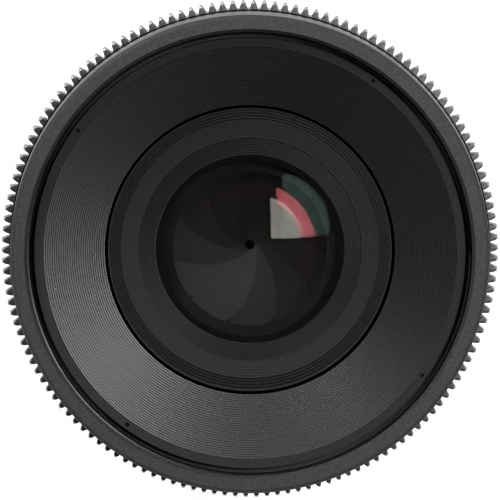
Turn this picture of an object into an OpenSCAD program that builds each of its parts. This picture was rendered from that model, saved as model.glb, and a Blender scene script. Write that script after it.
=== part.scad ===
// Cinema prime lens with geared focus and iris rings, an eleven-blade iris and a three-lug bayonet.
// The optical axis is Z, the mount flange is at z = 0 and the front opening faces +Z. Sizes are mm.

/* [Barrel stack along the axis] */
// flange face to the rear face of the iris ring
rear_len = 22; // [20:0.5:28]
// length of the iris ring
iris_len = 18; // [17:0.5:22]
// visible length of the fixed index ring
index_len = 5.7; // [5.4:0.1:9]
// length of the focus ring
focus_len = 37.7; // [36:0.1:44]
// length of the fixed front rim
front_len = 17.2; // [16:0.1:22]
// slit between a fixed ring and a turning ring
ring_gap = 0.3; // [0.2:0.05:0.5]

/* [Outer diameters] */
// outside of the front rim, for clamp-on accessories
front_d = 114; // [108:0.5:120]
// outside of the fixed index ring
index_d = 110; // [104:0.5:116]
// widest part of the rear barrel
rear_d = 102.4; // [96:0.1:106]

/* [Gears] */
// gear module, pitch diameter per tooth
gear_module = 0.8; // [0.79:0.005:0.83]
// teeth on the focus gear
focus_teeth = 146; // [144:1:152]
// teeth on the iris gear
iris_teeth = 132; // [130:1:138]
// width of the focus gear
focus_gear_w = 8.5; // [6:0.5:12]
// width of the iris gear
iris_gear_w = 9; // [6:0.5:10]
// metal between the tooth roots and the gear bore
gear_rim = 1.6; // [1.2:0.1:2]
// bevel on the tooth tips
tip_bevel = 0.45; // [0.2:0.05:0.7]
// turn of the tooth pattern about the axis, degrees
gear_phase = 0.3; // [0:0.1:2.4]

/* [Focus drive] */
// turn of the focus ring, degrees
focus_throw = 300; // [240:5:310]
// forward travel of the optical unit
focus_travel = 7.8; // [7:0.1:8.6]
// diameter of the three follower pins
follower_d = 2; // [1.6:0.1:2]

/* [Front opening] */
// wall of the front rim, from the outside to the nominal filter thread
rim_wall = 4.5; // [4:0.1:6]
// depth of the thread core below the nominal radius
thread_core = 0.4; // [0.3:0.05:0.5]
// front face to the matte ring
matte_depth = 4.4; // [3.6:0.1:5.4]
// slit between the thread and the matte ring
matte_gap = 0.8; // [0.6:0.05:1.2]
// width of the matte ring
matte_w = 2.1; // [1.8:0.1:2.6]
// lower edge of the grooved cone above the rear face of the rim
cone_foot = 0.1; // [0.05:0.05:1]
// grooves turned in the cone
cone_grooves = 28; // [20:1:34]
// sheet thickness of the cone
cone_t = 1.5; // [1:0.1:1.8]
// drop from the lower edge of the cone to the edge of the inner bezel
bezel_step = 0.4; // [0.1:0.1:1]
// outer radius of the inner bezel
bezel_r = 33.8; // [31:0.1:36]
// slit between the bezel and the cone
bezel_gap = 0.8; // [0.5:0.05:1]

/* [Front lens group] */
// radius of the first element
front_glass_r = 22.3; // [21.8:0.05:22.6]
// radius of the cemented pair
pair_r = 18.8; // [18.5:0.05:19]
// curve radius of the front of the first element
front_curve = 80; // [72:1:90]
// curve radius of the rear of the first element
second_curve = 170; // [140:5:240]
// curve radius of the front of the cemented pair
third_curve = 50; // [46:1:60]
// curve radius of the cement face of the pair
fourth_curve = 160; // [130:5:220]
// curve radius of the hollow rear of the pair
fifth_curve = 38; // [36:1:46]
// centre thickness of the first element
front_t = 5.2; // [5:0.1:5.6]
// centre thickness of the second element
pair_front_t = 6; // [5.6:0.1:6.6]
// centre thickness of the third element
pair_rear_t = 1.8; // [1.6:0.1:2.4]
// axial air gap between two elements
air_gap = 0.5; // [0.4:0.05:0.8]

/* [Rear lens group] */
// radius of the rear elements
rear_glass_r = 18; // [17.6:0.1:18.2]
// curve radius of the hollow front of the fourth element
sixth_curve = 26; // [24:0.5:30]
// curve radius of the cement face between the fourth and fifth elements
seventh_curve = 70; // [60:1:90]
// curve radius of the rear of the fifth element
eighth_curve = 36; // [34:0.5:44]
// curve radius of the front of the sixth element
ninth_curve = 90; // [75:1:120]
// curve radius of the rear of the sixth element
tenth_curve = 75; // [66:1:100]
// curve radius of the front of the seventh element
eleventh_curve = 60; // [54:1:80]
// curve radius of the rear of the seventh element
twelfth_curve = 220; // [180:5:300]
// curve radius of the hollow front of the eighth element
thirteenth_curve = 80; // [66:1:120]
// curve radius of the rear of the eighth element
fourteenth_curve = 300; // [220:5:400]
// centre thickness of the fourth element
fourth_t = 1.8; // [1.6:0.1:2.4]
// centre thickness of the fifth element
fifth_t = 8.5; // [8:0.1:9]
// centre thickness of the sixth element
sixth_t = 5.4; // [5.2:0.1:6]
// centre thickness of the seventh element
seventh_t = 4; // [3.8:0.1:4.4]
// centre thickness of the eighth element
eighth_t = 3; // [2.6:0.1:3.4]
// air between the seventh and the eighth element
rear_air = 15.9; // [13:0.1:17]

/* [Iris] */
// blade thickness
blade_t = 0.05; // [0.04:0.005:0.055]
// lean of each blade plane, degrees
blade_tilt = 8; // [7.8:0.1:8.6]
// radius of the blade pivots
pivot_r = 21.5; // [21.4:0.05:21.8]
// clear radius with the iris open
open_r = 16.5; // [16.2:0.05:16.7]
// clear radius with the iris closed down
closed_r = 1; // [0.95:0.05:1.5]
// width of a blade
blade_w = 6.7; // [6.4:0.1:7]
// reach of the blade arm from pivot to drive pin
arm_len = 8; // [7.6:0.1:8.2]
// turn of the iris ring, degrees
iris_throw = 54; // [48:1:56]
// turn of the blade pattern about the axis, degrees
iris_phase = 0.4; // [0:0.1:30]

/* [Bayonet mount] */
// mount flange diameter
flange_d = 65; // [64:0.5:67]
// flange thickness
flange_t = 2.6; // [2.2:0.1:3.2]
// across the three lugs
lug_d = 53.9; // [52:0.1:56]
// height of a lug above the neck
lug_h = 1.65; // [1.4:0.05:1.9]
// arc of one lug, degrees
lug_arc = 56; // [40:1:62]
// reach of the neck behind the flange
neck_len = 5.5; // [5:0.1:6.5]
// flange adjusting shim
shim_t = 0.3; // [0.1:0.05:0.6]

/* [Fits] */
// radial clearance of a turning or sliding fit
run_clear = 0.1; // [0.06:0.01:0.1]
// radial clearance of a seated piece
seat_clear = 0.05; // [0.02:0.01:0.06]

/* [Hidden] */
// facets of a plain circle and of a polished glass ball
$fn = 96;
ball_fn = 300;
// axial stations of the outer rings
iris_z0 = rear_len;
iris_z1 = iris_z0 + iris_len;
index_z0 = iris_z1 + ring_gap;
index_z1 = index_z0 + index_len;
focus_z0 = index_z1 + ring_gap;
focus_z1 = focus_z0 + focus_len;
front_z0 = focus_z1 + ring_gap;
front_z1 = front_z0 + front_len;
focus_gear_z0 = focus_z1 - focus_gear_w;

// gear radii
focus_pitch_r = gear_module * focus_teeth / 2;
gear_foot = 1.25 * gear_module;
focus_root_r = focus_pitch_r - gear_foot;
focus_seat_r = focus_root_r - gear_rim;
iris_pitch_r = gear_module * iris_teeth / 2;
iris_root_r = iris_pitch_r - gear_foot;
iris_seat_r = iris_root_r - gear_rim;
pressure_angle = 20;

// outer ring walls
edge_bevel = 0.6;
focus_band_step = 1.9;
focus_band_r = focus_root_r - focus_band_step;
focus_wall = 4.6;
focus_in_r = focus_seat_r - focus_wall;
iris_band_step = 0.4;
iris_band_r = iris_root_r + iris_band_step;
iris_wall = 1.5;
iris_bore_r = iris_seat_r - iris_wall;
iris_track_r = iris_bore_r - run_clear;
index_wall = 5.2;
main_flange_r = index_d / 2 - index_wall;
flange_overhang = 1.2;
track_wall = 3;
track_in_r = min(iris_track_r, main_flange_r - flange_overhang) - track_wall;
track_mid_r = track_in_r + track_wall / 2;
rear_wall = 5.6;

// nested fixed and sliding tubes, wide enough for the bezel and for the arms of the blades
tube_wall = 2.2;
bezel_shoulder = 1.2;
arm_room = 3.3;
tube_r = max(bezel_r + bezel_shoulder, pivot_r + arm_len + arm_room + tube_wall);
tube_in_r = tube_r - tube_wall;
land_h = 1;
land_len = 4;
land_foot = 3;
land_root = 0.5;
main_in_r = tube_r + land_h;
land_r = main_in_r - seat_clear;
main_wall = 3.5;
main_r = main_in_r + main_wall;
sleeve_in_r = main_r + run_clear;
sleeve_wall = 3.9;
sleeve_r = sleeve_in_r + sleeve_wall;
main_flange_t = index_len - 0.7;
main_flange_z1 = index_z0 + main_flange_t;
sleeve_z0 = main_flange_z1 + ring_gap;
barrel_screw_r = 0.7;
barrel_screw_z = index_z0 - 6.6;
barrel_head_r = 1.5;
barrel_head_h = 1.2;
barrel_head_z = main_flange_z1 - barrel_head_h - 0.1;
collar_len = 6.8;
collar_z0 = front_z0 - collar_len;
sleeve_z1 = collar_z0 - ring_gap;
main_z1 = front_z0 - 3.5;
web_z0 = focus_z0 + 0.8;
web_z1 = web_z0 + 4;
sleeve_flange_r = focus_in_r - run_clear;
sleeve_flange_z1 = web_z1 + 2;
sleeve_screw_r = (sleeve_r + focus_in_r) / 2;
sleeve_screw_z = web_z0 + 0.8;
small_screw_r = 0.8;

// front opening
rim_r = front_d / 2;
filter_r = rim_r - rim_wall;
thread_r = filter_r - thread_core;
lip_r = filter_r + 1;
matte_r = thread_r - matte_gap;
matte_z = front_z1 - matte_depth;
thread_z0 = matte_z + 0.1;
cone_r = matte_r - matte_w;
cone_z0 = front_z0 + cone_foot;
cone_in_r = bezel_r + bezel_gap;
cone_slope = (matte_z - cone_z0) / (cone_r - cone_in_r);
cone_drop = cone_t * sqrt(1 + cone_slope * cone_slope);
ledge_z = matte_z - 3.1;
ledge_in_r = cone_r - 0.6;
ledge_t = 2;
rim_web_z1 = cone_z0 - cone_drop + (main_r + seat_clear - cone_in_r) * cone_slope - ring_gap;
groove_deep = 0.06;
bezel_z = cone_z0 - bezel_step;
bezel_fall = 0.132;
bezel_t = 3;
cell_r = 26.6;
cell_mouth_r = front_glass_r + 0.16;

// optical vertices, front to back
first_v = bezel_z + 0.6;
second_v = first_v - front_t;
third_v = second_v - air_gap;
fourth_v = third_v - pair_front_t;
fifth_v = fourth_v - pair_rear_t;
pair_clear_r = pair_r - 1.6;
spacer_r = pair_r + 2;
pair_end_z = fifth_v - sag(fifth_curve, pair_clear_r);
pair_lip_t = 0.5;
glass_gap = 0.06;
nose_z = pair_end_z - pair_lip_t;
nose_r = pair_r + seat_clear + 1.35;
iris_z = nose_z - nose_r * tan(blade_tilt) - 0.3;
rear_clear_r = rear_glass_r - 2.5;
rear_gap = 2.8;
rear_end_z = iris_z - rear_gap;
sixth_v = rear_end_z - sag(sixth_curve, rear_clear_r);
seventh_v = sixth_v - fourth_t;
eighth_v = seventh_v - fifth_t;
ninth_v = eighth_v - air_gap;
tenth_v = ninth_v - sixth_t;
eleventh_v = tenth_v - air_gap;
twelfth_v = eleventh_v - seventh_t;
thirteenth_v = twelfth_v - rear_air;
fourteenth_v = thirteenth_v - eighth_t;

// iris mechanism, with one node for each blade
blade_count = 11;
hub_in_r = nose_r + 0.1;
hub_r = pivot_r + 1.4;
arm_r = 1;
pivot_pin_r = 0.55;
drive_pin_r = 0.45;
arm_angle = 20;
blade_close = 2 * asin((open_r - closed_r) / (2 * pivot_r));
blade_root = -4;
blade_tip_in = 71;
blade_tip_out = 76;
cam_lift = (pivot_r + arm_len + arm_r) * sin(blade_tilt) + blade_t + 0.2;
cam_t = 0.8;
cam_z0 = iris_z + cam_lift;
cam_z1 = cam_z0 + cam_t;
plate_z0 = cam_z1 + 0.4;
plate_z1 = plate_z0 + 0.9;
pivot_top = (plate_z0 - run_clear - iris_z - pivot_r * sin(blade_tilt)) / cos(blade_tilt);
pin_top = (cam_z1 + 0.28 - iris_z - (pivot_r + arm_len) * sin(blade_tilt)) / cos(blade_tilt);
cam_in_r = hub_r + seat_clear;
cam_r = tube_in_r - 0.4;
cam_mid = cam_lift + cam_t / 2;
slot_steps = 10;
slot_half = drive_pin_r / cos(blade_tilt) + 0.06 + cam_t / 2 * tan(blade_tilt);
cover_z1 = iris_z - 1.2;
cover_z0 = cover_z1 - 1.4;
cover_in_r = 24.1;
bar_w = 4;
bar_in_r = cam_r - 1.4;
bar_r = cam_r - 0.2;
bar_angle = iris_throw / 2;
fork_z1 = index_z0 - 1;
fork_z0 = fork_z1 - 2.8;
fork_w = 9;
bar_z0 = fork_z0 - focus_travel - 1;
fork_in_r = bar_in_r - 2.3;
fork_out_r = iris_bore_r + 1.4;
sweep_margin = 9;

// focus drive
follower_r = follower_d / 2;
follower_z = sleeve_flange_z1 + 3;
cam_groove_r = sleeve_in_r + 1.8;
groove_half = follower_r + seat_clear;
groove_steps = 60;
groove_run = asin(groove_half / sleeve_in_r);
tube_z0 = index_z0 + 0.7;
tube_step_z = cone_z0 - cone_drop - focus_travel - 0.5;
tube_z1 = bezel_z - bezel_t;
support_z1 = plate_z1 + 5;

// rear end
rear_z0 = flange_t + shim_t;
lug_r = lug_d / 2;
neck_r = lug_r - lug_h;
neck_in_r = neck_r - 1.7;
flange_r = flange_d / 2;
lug_z0 = -3.9;
lug_t = 1.7;
mount_screw_r = (neck_r + flange_r) / 2 + 0.3;
screw_r = 1;
screw_head_r = 2;
screw_bite = 3.5;
screw_tip_z = rear_z0 + screw_bite;
lock_hole_r = 1.8;
lock_hole_deep = 1.6;
rear_cell_wall = 4;
rear_cell_rim = 5.5;
rear_cell_tail = 3.2;
rear_lip_w = 2.6;
rear_cell_r = rear_glass_r + rear_cell_wall;
rear_cell_flange_r = rear_cell_r + rear_cell_rim;
rear_cell_z0 = fourteenth_v - rear_cell_tail;
cell_lip_z1 = rear_end_z + 0.6;

// depth of a spherical cap of curve radius c at height r
function sag(c, r) = c - sqrt(c * c - r * r);
// involute of an angle in degrees
function involute(a) = tan(a) * 180 / PI - a;
// half the tooth thickness at radius r as an angle
function tooth_half(r, pitch_r, teeth) =
    90 / teeth + involute(pressure_angle) - involute(acos(pitch_r * cos(pressure_angle) / r));
// a point at radius r and angle a
function polar(r, a) = [r * cos(a), r * sin(a)];
// outline of a spur gear
function gear_outline(teeth, pitch_r) =
    let (root = pitch_r - gear_foot, tip = pitch_r + gear_module)
    let (radii = [root, pitch_r, tip])
    [for (i = [0 : teeth - 1]) each concat(
        [for (j = [0 : 2]) polar(radii[j], 360 * i / teeth - tooth_half(radii[j], pitch_r, teeth))],
        [for (j = [2 : -1 : 0]) polar(radii[j], 360 * i / teeth + tooth_half(radii[j], pitch_r, teeth))]
    )];
// saw-tooth points from radius r1 in to r0 on a straight face through z1 and z0, with lean from 0 to 1
function grooves(r1, z1, r0, z0, count, deep, lean = 0.5) =
    [for (i = [0 : count - 1]) each [
        [r1 + (r0 - r1) * i / count, z1 + (z0 - z1) * i / count],
        [r1 + (r0 - r1) * (i + lean) / count, z1 + (z0 - z1) * (i + lean) / count - deep]
    ]];
// height of the bezel face at radius r
function bezel_face(r) = bezel_z - (bezel_r - r) * bezel_fall;
// drive pin centre in the cam ring, with f from 0 for closed to 1 for open
function pin_path(f) =
    let (a = arm_angle + blade_close * (1 - f), u = pivot_r + arm_len * cos(a), v = arm_len * sin(a))
    let (x = u / cos(blade_tilt) - cam_mid * tan(blade_tilt), t = iris_throw * f)
    [x * cos(t) - v * sin(t), x * sin(t) + v * cos(t)];
// unit vector square to the pin path
function pin_side(f) =
    let (d = pin_path(f + 0.01) - pin_path(f - 0.01))
    [-d[1], d[0]] / norm(d);

// a turned body from its half section
module lathe(section) {
    rotate_extrude() polygon(section);
}

// a plain ring
module ring(r_in, r_out, z0, z1) {
    lathe([[r_in, z0], [r_out, z0], [r_out, z1], [r_in, z1]]);
}

// a wedge of the given arc, for cutting arc slots
module arc_slot(r_in, r_out, z0, z1, a0, a1) {
    rotate([0, 0, a0])
        rotate_extrude(angle = a1 - a0)
            translate([r_in, z0])
                square([r_out - r_in, z1 - z0]);
}

// a gear ring with bevelled tooth tips
module gear_ring(teeth, pitch_r, bore_r, z0, z1) {
    tip = pitch_r + gear_module;
    difference() {
        intersection() {
            translate([0, 0, z0])
                rotate([0, 0, gear_phase])
                    linear_extrude(z1 - z0)
                        polygon(gear_outline(teeth, pitch_r));
            lathe([
                [0, z0], [tip - tip_bevel, z0], [tip + 0.05, z0 + tip_bevel + 0.05],
                [tip + 0.05, z1 - tip_bevel - 0.05], [tip - tip_bevel, z1], [0, z1]
            ]);
        }
        translate([0, 0, z0 - 1])
            cylinder(r = bore_r, h = z1 - z0 + 2);
    }
}

// a ball of glass with its vertex at z, bulging to the front
module front_ball(curve, z) {
    translate([0, 0, z - curve]) sphere(r = curve, $fn = ball_fn);
}

// a ball of glass with its vertex at z, bulging to the rear
module rear_ball(curve, z) {
    translate([0, 0, z + curve]) sphere(r = curve, $fn = ball_fn);
}

// a glass blank
module blank(r, z0, z1) {
    translate([0, 0, z0]) cylinder(r = r, h = z1 - z0);
}

// screws with a countersunk head at z_head, pointing along +Z
module countersunk(r, head_r, z_head, z_tip) {
    lathe([[0, z_head], [head_r, z_head], [r, z_head + head_r - r], [r, z_tip], [0, z_tip]]);
}

// stainless bayonet with three lugs
module mount_ring() {
    color("#b9b8b4") difference() {
        union() {
            lathe([
                [neck_in_r, -neck_len], [neck_r, -neck_len], [neck_r, 0],
                [flange_r, 0], [flange_r, flange_t], [neck_in_r, flange_t]
            ]);
            for (a = [0 : 120 : 240])
                arc_slot(neck_r - 0.4, lug_r, lug_z0, lug_z0 + lug_t, a - lug_arc / 2, a + lug_arc / 2);
        }
        for (a = [45 : 90 : 315])
            rotate([0, 0, a]) translate([mount_screw_r, 0, 0])
                countersunk(screw_r + run_clear, screw_head_r + 2 * run_clear, -0.01, flange_t + 1);
        rotate([0, 0, 90]) translate([mount_screw_r, 0, -1])
            cylinder(r = lock_hole_r, h = 1 + lock_hole_deep);
    }
}

// shim that sets the flange distance
module mount_shim() {
    color("#a8894a") difference() {
        ring(neck_r, flange_r - 0.3, flange_t, flange_t + shim_t);
        for (a = [45 : 90 : 315])
            rotate([0, 0, a]) translate([mount_screw_r, 0, 0])
                cylinder(r = screw_r + run_clear, h = rear_z0 + 1);
    }
}

// four countersunk screws of the mount
module mount_screws() {
    color("#8d8c88") for (a = [45 : 90 : 315])
        rotate([0, 0, a]) translate([mount_screw_r, 0, 0])
            countersunk(screw_r, screw_head_r, 0.1, screw_tip_z);
}

// matte light trap inside the bayonet neck
module rear_baffle() {
    inner = neck_in_r - 2.1;
    color("#18181a") lathe([
        [inner - 1.7, -neck_len - 0.5], [neck_in_r - seat_clear, -neck_len - 0.5],
        [neck_in_r - seat_clear, flange_t], [inner, flange_t], [inner, -neck_len + 0.5],
        [inner - 1.7, -neck_len + 0.5]
    ]);
}

// tapered rear barrel that carries the iris ring
module rear_barrel() {
    shelf = rear_z0 + 4.6;
    top = rear_len - ring_gap;
    color("#232427") difference() {
        lathe([
            [neck_r + 2, rear_z0], [flange_r + 0.7, rear_z0], [flange_r + 1.3, rear_z0 + 0.6],
            [flange_r + 1.3, rear_z0 + 3], [rear_d / 2, top - 5], [rear_d / 2, top - edge_bevel],
            [rear_d / 2 - edge_bevel, top], [iris_track_r, top], [iris_track_r, index_z0],
            [track_in_r, index_z0], [track_in_r, top + 2], [rear_d / 2 - rear_wall, top - 5],
            [flange_r - 1, shelf], [neck_r + 2, shelf]
        ]);
        for (a = [45 : 90 : 315])
            rotate([0, 0, a]) {
                translate([mount_screw_r, 0, 0]) cylinder(r = screw_r + 0.02, h = screw_tip_z + 0.5);
                translate([track_mid_r, 0, barrel_screw_z - 0.4])
                    cylinder(r = barrel_screw_r + 0.02, h = index_z0 - barrel_screw_z + 1);
            }
        arc_slot(
            track_in_r - 3, iris_track_r + 3, fork_z0 - 0.4, index_z0 + 1,
            bar_angle - iris_throw - sweep_margin, bar_angle + sweep_margin
        );
    }
}

// fixed main barrel with straight guide slots
module main_barrel() {
    color("#5b5c60") difference() {
        lathe([
            [main_in_r, index_z0], [main_flange_r, index_z0], [main_flange_r, main_flange_z1],
            [main_r, main_flange_z1], [main_r, main_z1], [main_in_r, main_z1]
        ]);
        for (a = [60 : 120 : 300])
            rotate([0, 0, a]) {
                translate([main_in_r - 1, -groove_half, follower_z])
                    cube([main_r - main_in_r + 2, 2 * groove_half, focus_travel]);
                for (z = [follower_z, follower_z + focus_travel])
                    translate([main_in_r - 1, 0, z]) rotate([0, 90, 0])
                        cylinder(r = groove_half, h = main_r - main_in_r + 2);
            }
        for (a = [45 : 90 : 315])
            rotate([0, 0, a]) translate([track_mid_r, 0, index_z0 - 1]) {
                cylinder(r = barrel_screw_r + run_clear, h = main_flange_t + 2);
                translate([0, 0, barrel_head_z - index_z0 + 1])
                    cylinder(r = barrel_head_r + 2 * run_clear, h = main_flange_t);
            }
    }
}

// four screws through the flange of the main barrel
module barrel_screws() {
    color("#77767a") for (a = [45 : 90 : 315])
        rotate([0, 0, a]) translate([track_mid_r, 0, 0]) {
            translate([0, 0, barrel_screw_z])
                cylinder(r = barrel_screw_r, h = barrel_head_z - barrel_screw_z);
            translate([0, 0, barrel_head_z]) cylinder(r = barrel_head_r, h = barrel_head_h);
        }
}

// fixed ring with the witness lines
module index_ring() {
    r = index_d / 2;
    color("#212225") lathe([
        [main_flange_r + seat_clear, index_z0], [r - edge_bevel, index_z0], [r, index_z0 + edge_bevel],
        [r, index_z1 - edge_bevel], [r - edge_bevel, index_z1], [main_flange_r + seat_clear, index_z1]
    ]);
}

// fixed front rim with the filter thread bore
module front_rim() {
    wall_in = thread_r + 1;
    color("#2a2b2e") lathe([
        [main_r + seat_clear, collar_z0], [sleeve_r - 0.3, collar_z0], [sleeve_r - 0.3, front_z0],
        [rim_r - edge_bevel, front_z0], [rim_r, front_z0 + edge_bevel], [rim_r, front_z1 - 0.8],
        [rim_r - 0.8, front_z1], [lip_r, front_z1], [lip_r - 0.05, front_z1 - 0.3],
        [thread_r + 0.2, front_z1 - 1.2], [thread_r, front_z1 - 1.2], [thread_r, thread_z0],
        [wall_in, thread_z0], [wall_in, ledge_z], [ledge_in_r, ledge_z],
        [ledge_in_r, ledge_z - ledge_t], [wall_in, ledge_z - ledge_t],
        [wall_in, rim_web_z1], [main_r + seat_clear, rim_web_z1]
    ]);
}

// conical baffle with turned grooves and four spanner holes
module front_baffle() {
    color("#26272a") difference() {
        lathe(concat(
            [[matte_r, ledge_z], [matte_r, matte_z]],
            grooves(cone_r, matte_z, cone_in_r, cone_z0, cone_grooves, groove_deep),
            [
                [cone_in_r, cone_z0], [cone_in_r, cone_z0 - cone_drop],
                [cone_in_r + (ledge_z - cone_z0 + cone_drop) / cone_slope, ledge_z]
            ]
        ));
        for (a = [54.5 : 90 : 324.5])
            rotate([0, 0, a]) translate([(matte_r + cone_r) / 2, 0, matte_z - 1.6]) cylinder(r = 0.5, h = 3);
    }
}

// focus ring with the distance scale band
module focus_ring() {
    seat = focus_gear_z0;
    hole = sleeve_r + seat_clear;
    color("#1f2023") difference() {
        lathe([
            [hole, web_z0], [focus_in_r, web_z0], [focus_in_r, focus_z0],
            [focus_band_r - edge_bevel, focus_z0], [focus_band_r, focus_z0 + edge_bevel],
            [focus_band_r, seat - edge_bevel],
            [focus_band_r - edge_bevel, seat], [focus_seat_r, seat], [focus_seat_r, focus_z1],
            [focus_in_r, focus_z1], [focus_in_r, web_z1], [hole, web_z1]
        ]);
        for (a = [0 : 60 : 300])
            rotate([0, 0, a]) translate([sleeve_screw_r, 0, sleeve_screw_z - 0.2])
                cylinder(r = small_screw_r + 0.02, h = web_z1);
    }
}

// focus gear
module focus_gear() {
    color("#303134") gear_ring(focus_teeth, focus_pitch_r, focus_seat_r + 0.02, focus_gear_z0, focus_z1);
}

// sleeve with three helical cam grooves, turned by the focus ring
module cam_sleeve() {
    color("#6b6c70") difference() {
        lathe([
            [sleeve_in_r, sleeve_z0], [sleeve_r, sleeve_z0], [sleeve_r, web_z1], [sleeve_flange_r, web_z1],
            [sleeve_flange_r, sleeve_flange_z1], [sleeve_r, sleeve_flange_z1], [sleeve_r, sleeve_z1],
            [sleeve_in_r, sleeve_z1]
        ]);
        for (a = [60 : 120 : 300])
            rotate([0, 0, a]) cam_groove();
        for (a = [0 : 60 : 300])
            rotate([0, 0, a]) translate([sleeve_screw_r, 0, 0])
                cylinder(r = small_screw_r + run_clear, h = sleeve_flange_z1 + 1);
    }
}

// cutter for one helical cam groove
module cam_groove() {
    inner = sleeve_in_r - 1;
    lead = focus_travel / focus_throw;
    points = [for (i = [0 : groove_steps]) each
        let (turn = -groove_run + (focus_throw + 2 * groove_run) * i / groove_steps)
        let (a = -turn, z = follower_z + lead * turn)
        [
            [inner * cos(a), inner * sin(a), z - groove_half],
            [cam_groove_r * cos(a), cam_groove_r * sin(a), z - groove_half],
            [cam_groove_r * cos(a), cam_groove_r * sin(a), z + groove_half],
            [inner * cos(a), inner * sin(a), z + groove_half]
        ]
    ];
    last = 4 * groove_steps;
    faces = concat(
        [[0, 1, 2, 3], [last + 3, last + 2, last + 1, last]],
        [for (i = [0 : groove_steps - 1]) for (j = [0 : 3])
            let (a = 4 * i + j, b = 4 * i + (j + 1) % 4)
            each [[a, a + 4, b], [b, a + 4, b + 4]]]
    );
    polyhedron(points = points, faces = faces);
}

// six screws that clamp the sleeve flange to the focus ring
module sleeve_screws() {
    color("#77767a") for (a = [0 : 60 : 300])
        rotate([0, 0, a]) translate([sleeve_screw_r, 0, 0]) {
            translate([0, 0, sleeve_screw_z])
                cylinder(r = small_screw_r, h = sleeve_flange_z1 - sleeve_screw_z);
            translate([0, 0, sleeve_flange_z1]) cylinder(r = barrel_head_r, h = 1);
        }
}

// iris ring with the stop scale band
module iris_ring() {
    seat = iris_z0 + iris_gear_w;
    color("#1f2023") difference() {
        lathe([
            [iris_bore_r, iris_z0], [iris_seat_r, iris_z0], [iris_seat_r, seat],
            [iris_band_r - edge_bevel, seat], [iris_band_r, seat + edge_bevel],
            [iris_band_r, iris_z1 - edge_bevel],
            [iris_band_r - edge_bevel, iris_z1], [iris_bore_r, iris_z1]
        ]);
        rotate([0, 0, bar_angle])
            translate([iris_bore_r - 3, -fork_w / 2 - 0.02, fork_z0 - 0.02])
                cube([fork_out_r - iris_bore_r + 3.02, fork_w + 0.04, fork_z1 - fork_z0 + 0.04]);
    }
}

// iris gear
module iris_gear() {
    color("#303134") gear_ring(iris_teeth, iris_pitch_r, iris_seat_r + 0.02, iris_z0, iris_z0 + iris_gear_w);
}

// fork that carries the turn of the iris ring inwards
module iris_fork() {
    slot_w = bar_w + 2 * run_clear;
    color("#8a7a4a") rotate([0, 0, bar_angle]) difference() {
        translate([fork_in_r, -fork_w / 2, fork_z0])
            cube([fork_out_r - fork_in_r, fork_w, fork_z1 - fork_z0]);
        translate([fork_in_r - 1, -slot_w / 2, fork_z0 - 1])
            cube([bar_r - fork_in_r + 1.8, slot_w, fork_z1 - fork_z0 + 2]);
    }
}

// sliding tube that carries the optical unit
module carriage_tube() {
    color("#4a4b4f") difference() {
        union() {
            lathe([
                [tube_in_r, tube_z0], [tube_r, tube_z0], [tube_r, tube_step_z], [bezel_r - 0.05, tube_step_z],
                [bezel_r - 0.05, tube_z1], [bezel_r - 2.4, tube_z1], [bezel_r - 2.4, support_z1],
                [cell_r + seat_clear, support_z1], [cell_r + seat_clear, plate_z1], [tube_in_r, plate_z1]
            ]);
            ring(tube_r - land_root, land_r, tube_z0 + land_foot, tube_z0 + land_foot + land_len);
            ring(tube_r - land_root, land_r, tube_step_z - 2 * land_len, tube_step_z - land_len);
            ring(cover_in_r, tube_in_r + 0.5, cover_z0, cover_z1);
        }
        for (a = [60 : 120 : 300])
            rotate([0, 0, a]) translate([tube_in_r - 1, 0, follower_z]) rotate([0, 90, 0])
                cylinder(r = follower_r, h = 6);
        arc_slot(
            bar_in_r - 0.4, bar_r + 0.15, cover_z0 - 1, cover_z1 + 1,
            bar_angle - iris_throw - 6, bar_angle + 6
        );
    }
}

// three follower pins that ride in the cam grooves
module follower_pins() {
    color("#9a9994") for (a = [60 : 120 : 300])
        rotate([0, 0, a]) translate([tube_in_r + 0.2, 0, follower_z]) rotate([0, 90, 0])
            cylinder(r = follower_r, h = cam_groove_r - tube_in_r - 0.6);
}

// ridged bezel round the front cell
module front_bezel() {
    mid = bezel_r - 3.1;
    inner = cell_r + seat_clear;
    color("#1b1c1e") lathe(concat(
        [[bezel_r, tube_z1], [bezel_r, bezel_z]],
        grooves(bezel_r - 0.3, bezel_face(bezel_r - 0.3), mid, bezel_face(mid), 4, 0.4, 0.4),
        grooves(mid, bezel_face(mid), inner + 0.3, bezel_face(inner + 0.3), 6, 0.1, 0.8),
        [[inner + 0.3, bezel_face(inner + 0.3)], [inner, bezel_face(inner)], [inner, tube_z1]]
    ));
}

// cell of the front group
module front_cell() {
    seat_z = second_v - sag(second_curve, front_glass_r) - 0.03;
    bore = pair_r + seat_clear;
    step_z = third_v - sag(third_curve, pair_r) + 0.1;
    color("#1d1e20") lathe(concat(
        [
            [pair_clear_r + 0.1, nose_z], [nose_r, nose_z], [nose_r, plate_z1 + 0.6], [cell_r, plate_z1 + 2.2]
        ],
        grooves(cell_r, bezel_face(cell_r), cell_mouth_r + 0.3, bezel_face(cell_mouth_r + 0.3), 8, 0.05),
        [
            [cell_mouth_r + 0.3, bezel_face(cell_mouth_r + 0.3)], [cell_mouth_r, bezel_face(cell_mouth_r)],
            [cell_mouth_r, seat_z], [spacer_r + seat_clear, seat_z], [spacer_r + seat_clear, step_z],
            [bore, step_z], [bore, pair_end_z], [pair_clear_r + 0.1, pair_end_z]
        ]
    ));
}

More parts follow.
